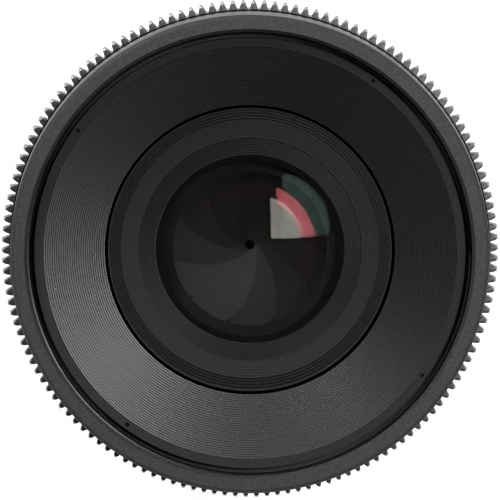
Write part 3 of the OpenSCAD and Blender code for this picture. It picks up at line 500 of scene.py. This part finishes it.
def gear_ring(name, teeth, low, high, bore):
    step = 2 * math.pi / (POINTS * teeth)
    pitch = GEAR_MODULE * teeth / 2
    tip, root = pitch + GEAR_MODULE, pitch - ROOT_MODULES * GEAR_MODULE
    bevelled_tip, land = tip - TIP_BEVEL, root - LAND_DROP
    bpy.ops.object.select_all(action="DESELECT")
    bpy.ops.mesh.primitive_circle_add(
        vertices=POINTS * teeth, radius=pitch * MM, location=(0, 0, low * MM))
    piece = bpy.context.object
    piece.name = piece.data.name = name
    bpy.ops.object.transform_apply(location=True)
    bpy.ops.object.mode_set(mode="EDIT")

    def point_of_tooth(v):
        return round(math.atan2(-v.co.x, v.co.y) / step) % POINTS

    def place(loop, points, r0, r1):
        pick(piece, lambda v: v.index in loop and point_of_tooth(v) in points)
        bpy.ops.transform.resize(value=(r1 / r0, r1 / r0, 1), center_override=(0, 0, 0))
        pick(piece, lambda v: v.index in loop)

    def rise(height):
        draw_on(0, height)
        return picked(piece)

    ring = pick(piece, lambda v: True)
    place(ring, ROOTS, pitch, root)
    place(ring, TIPS, pitch, bevelled_tip)
    place(rise(TIP_BEVEL), TIPS, bevelled_tip, tip)
    rise(high - low - 2 * TIP_BEVEL)
    place(rise(TIP_BEVEL), TIPS, tip, bevelled_tip)
    ring = rise(0)
    for points, r in ((TIPS, bevelled_tip), (FLANKS, pitch), (ROOTS, root)):
        place(ring, points, r, land)
    place(rise(0), TIPS + FLANKS + ROOTS, land, bore)
    rise(low - high)
    bpy.ops.mesh.select_all(action="DESELECT")
    bpy.ops.mesh.select_non_manifold()
    bpy.ops.mesh.bridge_edge_loops()
    bpy.ops.mesh.select_all(action="SELECT")
    bpy.ops.mesh.normals_make_consistent(inside=False)
    bpy.ops.object.mode_set(mode="OBJECT")
    piece.rotation_euler.z = math.radians(GEAR_PHASE_DEG - 90) % (2 * math.pi / teeth)
    bpy.ops.object.transform_apply(rotation=True)
    finish_gear(piece, land)
    return piece


# %% Cut the two gears
focus_gear = gear_ring("focus_gear_teeth", teeth=146, low=75.5, high=84.0, bore=55.8)
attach(focus_gear, "focus")
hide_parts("focus_gear")
iris_gear = gear_ring("iris_gear_teeth", teeth=132, low=22.0, high=31.0, bore=50.2)
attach(iris_gear, "iris")
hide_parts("iris_gear")

# %% [markdown]
# ## Front rim with its filter thread
# The rim is one turned piece: a blasted face, a bright lip where the anodising is thin, a step
# and the filter thread. The section repeats the frame's rim with the edges broken. The thread
# is a short zigzag that the Screw modifier winds up by a pitch of 1 mm a turn.

# %% Turn the rim
NECK_BORE, NECK_R, NECK_TOP = 39.55, 43.2, 86.42
RIM_R, RIM_FOOT, RIM_TOP = 57.0, 84.3, 101.5
LIP_R, LIP_FROM = 52.85, 100
THREAD_R, THREAD_FOOT = 52.55, 97.2
HOLLOW_R, LEDGE_R, LEDGE_TOP, LEDGE_FOOT = 53.1, 48.6, 94.0, 92.0
FLAT_UP = 0.9
rim_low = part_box("front_rim")[0].z / MM
rim_neck = [(NECK_BORE, rim_low), (NECK_R, rim_low), (NECK_R, RIM_FOOT)]
rim_wall = [(56.4, RIM_FOOT), (RIM_R, 84.9), (RIM_R, 100.55)]
rim_face = [(56.93, 100.8), (56.3, 101.43), (56.12, RIM_TOP), (53.62, RIM_TOP)]
rim_lip = [(53.5, 101.4), (53.45, 101.2), (LIP_R, 100.48), (THREAD_R, 100.42)]
rim_inside = [
    (THREAD_R, THREAD_FOOT), (HOLLOW_R, THREAD_FOOT), (HOLLOW_R, LEDGE_TOP), (LEDGE_R, LEDGE_TOP),
    (LEDGE_R, LEDGE_FOOT), (HOLLOW_R, LEDGE_FOOT), (HOLLOW_R, NECK_TOP), (NECK_BORE, NECK_TOP)]
front_rim = turned("front_rim_turned", rim_neck + rim_wall + rim_face + rim_lip + rim_inside,
                   rim_anodising, steps=300, crease_deg=20)
front_rim.data.materials.append(lip_metal)
for face in front_rim.data.polygons:
    in_lip = face.center.z > LIP_FROM * MM and off_axis(face) < LIP_R
    face.material_index = 1 if in_lip and face.normal.z > FLAT_UP else 0

# %% Wind the thread and join it to the rim
THREAD_CORE_R, THREAD_START, THREAD_PITCH, THREAD_TURNS = 52.12, 97.25, 1.0, 2
THREAD_SECTION = ((0, 0.12), (0.4, 0.36), (0, 0.04), (-0.4, 0.36), (0, 0.12))


def joined(pieces):
    bpy.ops.object.select_all(action="DESELECT")
    for piece in pieces:
        piece.select_set(True)
    bpy.context.view_layer.objects.active = pieces[0]
    bpy.ops.object.join()
    return pieces[0]


thread = start_point(THREAD_CORE_R, THREAD_START)
for dr, dz in THREAD_SECTION:
    draw_on(dr, dz)
bpy.ops.object.mode_set(mode="OBJECT")
wind = thread.modifiers.new("wind", "SCREW")
wind.axis, wind.screw_offset, wind.iterations = "Z", THREAD_PITCH * MM, THREAD_TURNS
wind.steps = wind.render_steps = 180
wind.use_merge_vertices, wind.merge_threshold = True, WELD
wind.use_normal_flip = True
bpy.ops.object.modifier_apply(modifier="wind")
thread.data.materials.append(rim_anodising)
joined([front_rim, thread])
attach(front_rim, "barrel")
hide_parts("front_rim")
print("rim faces:", len(front_rim.data.polygons))

# %% [markdown]
# ## Terraced cone
# The cone inside the rim is a light trap. A form tool cuts it into fine terraces: broad treads
# that lean a little inwards and steep steps between them, so that light from the front is
# thrown to one side. The frame has them shallower. The ring above the cone is matte and has four
# drilled spanner holes, and the short wall at the foot is deep black as painted shade in the gap.

# %% Turn the cone
TERRACES, CONE_TOP, CONE_FOOT = 28, (49.2, 96.78), (34.6, 84.4)
TERRACE_SECTION = ((0, 0), (0.14, 0.72), (0.4, 0.86), (0.7, 0.95))
BAFFLE_R, BAFFLE_TOP = 51.3, 97.1
step_r, step_z = [(b - a) / TERRACES for a, b in zip(CONE_TOP, CONE_FOOT)]
cone_outline = [(BAFFLE_R, LEDGE_TOP), (BAFFLE_R, 97.05), (51.25, BAFFLE_TOP)]
for k in range(TERRACES):
    r, z = CONE_TOP[0] + step_r * k, CONE_TOP[1] + step_z * k
    cone_outline += [(r + share_r * step_r, z + share_z * step_z)
                     for share_r, share_z in TERRACE_SECTION]
cone_outline += [CONE_FOOT, (CONE_FOOT[0], 82.41), (47.9, LEDGE_TOP)]
cone = turned("front_baffle_turned", cone_outline, cone_black, steps=240, crease_deg=30)

# %% Drill the spanner holes
HOLE_R, HOLE_CIRCLE, DRILL_LENGTH = 0.5, 50.25, 3.2


def outward(turn_deg):
    return Vector((math.cos(math.radians(turn_deg)), math.sin(math.radians(turn_deg)), 0))


def cut_away(piece, cutter):
    cut = piece.modifiers.new("cut", "BOOLEAN")
    cut.operation, cut.object, cut.solver = "DIFFERENCE", cutter, "EXACT"
    bpy.context.view_layer.objects.active = piece
    bpy.ops.object.modifier_apply(modifier="cut")
    bpy.data.objects.remove(cutter)


for turn in (54.5, 144.5, 234.5, 324.5):
    spot = outward(turn) * HOLE_CIRCLE * MM
    bpy.ops.object.select_all(action="DESELECT")
    bpy.ops.mesh.primitive_cylinder_add(
        vertices=24, radius=HOLE_R * MM, depth=DRILL_LENGTH * MM,
        location=(spot.x, spot.y, BAFFLE_TOP * MM))
    cut_away(cone, bpy.context.object)
print("cone faces:", len(cone.data.polygons))

# %% Finish the ring above the cone and the wall at its foot
FOOT_WALL = 0.05
for finish in (black_and_gap_shade, bezel_black):
    cone.data.materials.append(finish)
for face in cone.data.polygons:
    # The wall at the foot takes the deep black as painted shade in the gap round the bezel.
    if off_axis(face) < CONE_FOOT[0] + FOOT_WALL:
        face.material_index = 1
    elif off_axis(face) > CONE_TOP[0]:
        face.material_index = 2
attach(cone, "barrel")
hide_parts("front_baffle")
print("cone finishes:", [finish.name for finish in cone.data.materials])

# %% [markdown]
# ## Mount screws
# The flange is held by four countersunk screws with cross recesses. One head and shank are
# turned, the cross is cut with a boolean made of two crossed bars, and the screw is copied.

# %% Model one screw
HEAD_Z, HEAD_R, SHANK_R = 0.1, 2.0, 1.0
CROSS_LONG, CROSS_WIDE, CROSS_DEEP, CROSS_TAPER, CROSS_TURN = 2.1, 0.42, 1.3, 0.55, 20
screw_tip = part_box("mount_screws")[1].z / MM
screw = turned("mount_screw_heads", [
    (0.0, HEAD_Z), (1.86, HEAD_Z), (HEAD_R, 0.22), (SHANK_R, 1.22), (SHANK_R, screw_tip - 0.3),
    (0.7, screw_tip), (0.0, screw_tip)], stainless, closed=False, steps=48)
for turn in (0, 90):
    bpy.ops.object.select_all(action="DESELECT")
    bpy.ops.mesh.primitive_cube_add(size=1, location=(0, 0, HEAD_Z * MM))
    bar = bpy.context.object
    bar.scale = (CROSS_LONG * MM, CROSS_WIDE * MM, CROSS_DEEP * MM)
    bar.rotation_euler.z = math.radians(turn + CROSS_TURN)
    bpy.ops.object.transform_apply(location=True, rotation=True, scale=True)
    bpy.ops.object.mode_set(mode="EDIT")
    pick(bar, lambda v: v.co.z > HEAD_Z * MM)
    bpy.ops.transform.resize(value=(CROSS_TAPER, CROSS_TAPER, 1), center_override=(0, 0, 0))
    bpy.ops.object.mode_set(mode="OBJECT")
    cut_away(screw, bar)

# %% Copy it round the flange
SCREW_CIRCLE, SCREW_CREASE_DEG = 29.2, 30
UNEVEN_TURN = 1.7
copies = []
for turn in (45, 135, 225, 315):
    twin = screw.copy()
    twin.data = screw.data.copy()
    bpy.context.scene.collection.objects.link(twin)
    twin.location = outward(turn) * SCREW_CIRCLE * MM
    twin.rotation_euler.z = math.radians(turn * UNEVEN_TURN)
    copies.append(twin)
bpy.data.objects.remove(screw)
bpy.ops.object.select_all(action="DESELECT")
for twin in copies:
    twin.select_set(True)
bpy.context.view_layer.objects.active = copies[0]
bpy.ops.object.transform_apply(location=True, rotation=True, scale=True)
screws = joined(copies)
screws.name = screws.data.name = "mount_screw_heads"
bpy.ops.object.shade_smooth_by_angle(angle=math.radians(SCREW_CREASE_DEG))
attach(screws, "barrel")
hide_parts("mount_screws")
print("mount screws:", len(copies))

# %% [markdown]
# ## Scales
# The focus band carries distances and the iris band carries stops, with a witness line on the
# fixed ring between them. The stops are there on both sides, but the distances fill the whole
# turn, so the second line is short and only serves the stops. Plain numerals are made as text,
# turned into a mesh and set on the band, as far above it as a coat of paint is thick. All marks
# of a ring are joined, so that they turn with it.

# %% Helpers for numerals and ticks
PAINT = 0.03
FONT_TO_HEIGHT, TICK_ROUNDING = 1.4, 0.3


def set_on_band(mark, radius, height, angle_deg):
    away = outward(angle_deg)
    along = Vector((-away.y, away.x, 0))
    spot = Matrix((along, Vector((0, 0, 1)), away)).transposed().to_4x4()
    spot.translation = away * (radius + PAINT) * MM + Vector((0, 0, height * MM))
    mark.matrix_world = spot
    bpy.ops.object.transform_apply(location=True, rotation=True, scale=True)


def numeral(text, size, radius, height, angle_deg):
    bpy.ops.object.select_all(action="DESELECT")
    bpy.ops.object.text_add()
    mark = bpy.context.object
    mark.data.body, mark.data.size = text, size * MM * FONT_TO_HEIGHT
    mark.data.align_x, mark.data.align_y = "CENTER", "CENTER"
    mark.data.resolution_u = 4
    bpy.ops.object.convert(target="MESH")
    mark = bpy.context.object
    mark.data.materials.clear()
    mark.data.materials.append(white_enamel)
    set_on_band(mark, radius, height, angle_deg)
    return mark


def tick(width, length, radius, height, angle_deg):
    bpy.ops.object.select_all(action="DESELECT")
    bpy.ops.mesh.primitive_plane_add(size=1)
    mark = bpy.context.object
    mark.scale = (width * MM, length * MM, 1)
    bpy.ops.object.transform_apply(scale=True)
    bpy.ops.object.mode_set(mode="EDIT")
    bpy.ops.mesh.bevel(offset=TICK_ROUNDING * width * MM, segments=2, affect="VERTICES")
    bpy.ops.object.mode_set(mode="OBJECT")
    mark.data.materials.append(white_enamel)
    set_on_band(mark, radius, height, angle_deg)
    return mark


def join_marks(name, marks, body):
    piece = joined(marks)
    piece.name = piece.data.name = name
    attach(piece, body)
    print(name, "faces:", len(piece.data.polygons))


# %% Print the distances
WITNESS = 90
FOCUS_BAND, DISTANCE_Z, DISTANCE_TICK_Z, BETWEEN_TICK_Z = 55.5, 52.2, 48.3, 47.9
DISTANCE_TICK, BETWEEN_TICK = (0.3, 2.0), (0.2, 1.2)
INFINITY_SIZE, DISTANCE_SIZE = 3.4, 2.6
distances = [("20", 20), ("15", 36), ("12", 52), ("10", 70), ("8", 92), ("7", 110), ("6", 132),
             ("5", 160), ("4.5", 180), ("4", 202), ("3.5", 228), ("3", 258), ("2.8", 278),
             ("2.6", 300)]
marks = [numeral("∞", INFINITY_SIZE, FOCUS_BAND, DISTANCE_Z, WITNESS),
         tick(*DISTANCE_TICK, FOCUS_BAND, DISTANCE_TICK_Z, WITNESS)]
for text, turn in distances:
    marks.append(numeral(text, DISTANCE_SIZE, FOCUS_BAND, DISTANCE_Z, WITNESS - turn))
    marks.append(tick(*DISTANCE_TICK, FOCUS_BAND, DISTANCE_TICK_Z, WITNESS - turn))
for (_, near), (_, far) in zip(distances, distances[1:]):
    for k in (1, 2, 3):
        turn = WITNESS - near - (far - near) * k / 4
        marks.append(tick(*BETWEEN_TICK, FOCUS_BAND, BETWEEN_TICK_Z, turn))
join_marks("focus_scale", marks, "focus")

# %% Print the stops and the witness lines
IRIS_BAND, STOP_Z, STOP_TICK_Z = 52.2, 35.2, 38.6
STOP_SIZE, STOP_TICK, STOP_RANGE_DEG = 2.3, (0.3, 1.6), 54
INDEX_BAND = 55.0
LONG_LINE, LONG_LINE_Z, SHORT_LINE, SHORT_LINE_Z = (0.4, 4.2), 43.15, (0.4, 1.7), 41.9
stops = ["22", "16", "11", "8", "5.6", "4", "2.8", "2", "1.5"]
marks = []
for side in (WITNESS, WITNESS + 180):
    for k, text in enumerate(stops):
        turn = side + STOP_RANGE_DEG * k / (len(stops) - 1)
        marks.append(numeral(text, STOP_SIZE, IRIS_BAND, STOP_Z, turn))
        marks.append(tick(*STOP_TICK, IRIS_BAND, STOP_TICK_Z, turn))
join_marks("iris_scale", marks, "iris")
marks = [tick(*LONG_LINE, INDEX_BAND, LONG_LINE_Z, WITNESS),
         tick(*SHORT_LINE, INDEX_BAND, SHORT_LINE_Z, WITNESS + 180)]
join_marks("witness_lines", marks, "barrel")

# %% [markdown]
# ## Mount index
# A red dot on the rear barrel shows how to bring the lens up to the camera. It is a shallow
# dome of enamel in a drilled dimple.

# %% Model the dot
DOT_R, DOT_BULGE, DOT_SEAT, DOT_Z, DOT_CREASE_DEG = 1.2, 0.25, 51.18, 18.5, 40
bpy.ops.object.select_all(action="DESELECT")
bpy.ops.mesh.primitive_uv_sphere_add(segments=32, ring_count=16, radius=DOT_R * MM)
dot = bpy.context.object
dot.name = dot.data.name = "mount_index_dot"
dot.scale = (DOT_BULGE, 1, 1)
bpy.ops.object.transform_apply(scale=True)
bpy.ops.object.mode_set(mode="EDIT")
bpy.ops.mesh.select_all(action="SELECT")
bpy.ops.mesh.bisect(plane_co=(0, 0, 0), plane_no=(1, 0, 0), clear_inner=True, use_fill=True)
bpy.ops.object.mode_set(mode="OBJECT")
dot.rotation_euler.z = math.radians(WITNESS)
dot.location = (0, DOT_SEAT * MM, DOT_Z * MM)
bpy.ops.object.transform_apply(location=True, rotation=True)
bpy.ops.object.shade_smooth_by_angle(angle=math.radians(DOT_CREASE_DEG))
dot.data.materials.append(red_enamel)
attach(dot, "barrel")
print("index dot faces:", len(dot.data.polygons))

# %% [markdown]
# ## Finishes for the frame's own pieces
# The other pieces keep their CAD shapes, which are exact turnings, and only take a finish. The
# side wall of the bezel and the front ends of the tubes take a deep black as painted shade, so
# that no light comes back out of the gap around the bezel.

# %% Dress the CAD nodes
dress = {
    rim_anodising: ["index_ring"],
    barrel_anodising: ["rear_barrel", "focus_ring", "iris_ring"],
    bezel_black: ["front_bezel"],
    cell_black: ["front_cell"],
    black_and_gap_shade: ["front_retainer", "front_spacer", "rear_cell", "rear_spacer_a", "rear_spacer_b",
                 "rear_spacer_c", "rear_retainer"],
    tube_metal: ["main_barrel", "carriage_tube", "cam_sleeve"],
    stainless: ["mount_ring", "barrel_screws", "sleeve_screws", "follower_pins"],
    brass: ["mount_shim", "iris_fork", "iris_cam_ring"],
    trap_plastic: ["rear_baffle"],
    blade_steel: ["iris_base", "iris_snap_ring"] + [f"blade_{k}" for k in range(1, 12)],
}
for finish, names in dress.items():
    for name in names:
        nodes[name].data.materials.clear()
        nodes[name].data.materials.append(finish)
print("dressed CAD nodes:", sum(len(names) for names in dress.values()))

# %% Blacken the walls of the gap with painted shade
GAP_WALL_R, GAP_WALL_LEAN, TUBE_END_Z = 33.6, 0.2, 60


def blacken(name, rule):
    sheet = nodes[name].data
    sheet.materials.append(black_and_gap_shade)
    for face in sheet.polygons:
        if rule(face):
            face.material_index = 1


# The bezel's side wall and the tube ends take the deep black as painted shade in the gap.
blacken("front_bezel",
        lambda face: abs(face.normal.z) < GAP_WALL_LEAN and off_axis(face) > GAP_WALL_R)
for name in ("main_barrel", "carriage_tube"):
    blacken(name, lambda face: face.center.z > TUBE_END_Z * MM)
print("gap blackened")

# %% [markdown]
# ## White table
# The lens stands on a white table that fills the view. For the camera and for mirror rays the
# table also glows a little, so that it comes out white, and its diffuse part keeps the shadow.
# From below the table is clear, so that the mount can be looked at.

# %% Floor
TABLE_SIZE, TABLE_GAP, TABLE_GLOW = 60, 0.2 * MM, 0.9
bpy.ops.object.select_all(action="DESELECT")
bpy.ops.mesh.primitive_plane_add(size=TABLE_SIZE, location=(0, 0, cad_low.z - TABLE_GAP))
floor = bpy.context.object
floor.name = "white_table"
table, tree, _, out = new_finish("laminate_white_table")
path = add_node(tree, "ShaderNodeLightPath")
seen = add_node(tree, "ShaderNodeMath", {
    0: path.outputs["Is Camera Ray"], 1: path.outputs["Is Glossy Ray"]}, operation="MAXIMUM")
seen = add_node(tree, "ShaderNodeMath", {
    0: seen.outputs[0], 1: path.outputs["Is Transmission Ray"]}, operation="MAXIMUM")
glow = add_node(tree, "ShaderNodeMath", {0: seen.outputs[0], 1: TABLE_GLOW}, operation="MULTIPLY")
shine = add_node(tree, "ShaderNodeEmission", {
    "Color": colour("#ffffff"), "Strength": glow.outputs[0]})
matte = add_node(tree, "ShaderNodeBsdfDiffuse", {"Color": colour("#e7e7e7")})
both = add_node(tree, "ShaderNodeAddShader", {0: shine.outputs[0], 1: matte.outputs[0]})
below = add_node(tree, "ShaderNodeNewGeometry").outputs["Backfacing"]
clear = add_node(tree, "ShaderNodeBsdfTransparent")
top_only = add_node(tree, "ShaderNodeMixShader", {
    0: below, 1: both.outputs[0], 2: clear.outputs[0]})
tree.links.new(top_only.outputs[0], out.inputs["Surface"])
floor.data.materials.append(table)
print("table at z in mm:", round(floor.location.z / MM, 2))

# %% [markdown]
# ## Studio light
# A softbox hangs to the upper right of the lens, faces straight down, and its image shows in the
# glass. It also makes the bright fan at the lower left of the cone. A second softbox at the upper
# left, further off the axis, makes the second, fainter fan. The room adds a low even light.
# Places and sizes of the lamps are in metres.

# %% Lights and room
KEY_PLACE, KEY_SIZE, KEY_WATTS = (0.381, 0.228, 1.1), (0.333, 0.42), 10.1
FILL_PLACE, FILL_SIZE, FILL_WATTS, FILL_AIM = (-0.52, 0.83, 0.79), (0.45, 0.35), 11.5, (0, 0, 0.1)
ROOM_LIGHT = 0.05


def softbox(name, place, size, watts, aim=None):
    lamp = bpy.data.lights.new(name, "AREA")
    lamp.shape, lamp.energy = "RECTANGLE", watts
    lamp.size, lamp.size_y = size
    stand = bpy.data.objects.new(name, lamp)
    bpy.context.scene.collection.objects.link(stand)
    stand.location = place
    if aim:
        stand.rotation_euler = (Vector(aim) - Vector(place)).to_track_quat("-Z", "Y").to_euler()


softbox("key_softbox", KEY_PLACE, KEY_SIZE, KEY_WATTS)
softbox("fill_softbox", FILL_PLACE, FILL_SIZE, FILL_WATTS, FILL_AIM)
room = bpy.data.worlds.new("studio_room")
room.use_nodes = True
room.node_tree.nodes["Background"].inputs["Color"].default_value = colour("#ffffff")
room.node_tree.nodes["Background"].inputs["Strength"].default_value = ROOM_LIGHT
bpy.context.scene.world = room

# %% [markdown]
# ## Camera
# The photograph was taken from nearly straight in front, about 4 degrees above the axis, through
# a long lens. The camera's axes are set directly, because the view is almost straight down on
# the standing lens. The width of the view follows from the size of a pixel at the rim.

# %% Camera
PICTURE_PX, PX_MM = 500, 0.2375
EYE_DISTANCE, VIEW_WIDTH, SENSOR = 5.0, PICTURE_PX * PX_MM * MM, 36
back = Vector((0, 0.065, 0.998)).normalized()
right = Vector((0, 1, 0)).cross(back).normalized()
up = back.cross(right)
aim = Vector((0.03, 1.03, 101.5)) * MM
eye = bpy.data.cameras.new("front_camera")
eye.sensor_width, eye.lens = SENSOR, SENSOR * EYE_DISTANCE / VIEW_WIDTH
camera = bpy.data.objects.new("front_camera", eye)
bpy.context.scene.collection.objects.link(camera)
pose = Matrix((right, up, back)).transposed().to_4x4()
pose.translation = aim + back * EYE_DISTANCE
camera.matrix_world = pose
bpy.context.scene.camera = camera
bpy.context.scene.view_settings.view_transform = "Standard"
print("focal length in mm:", round(eye.lens, 1))
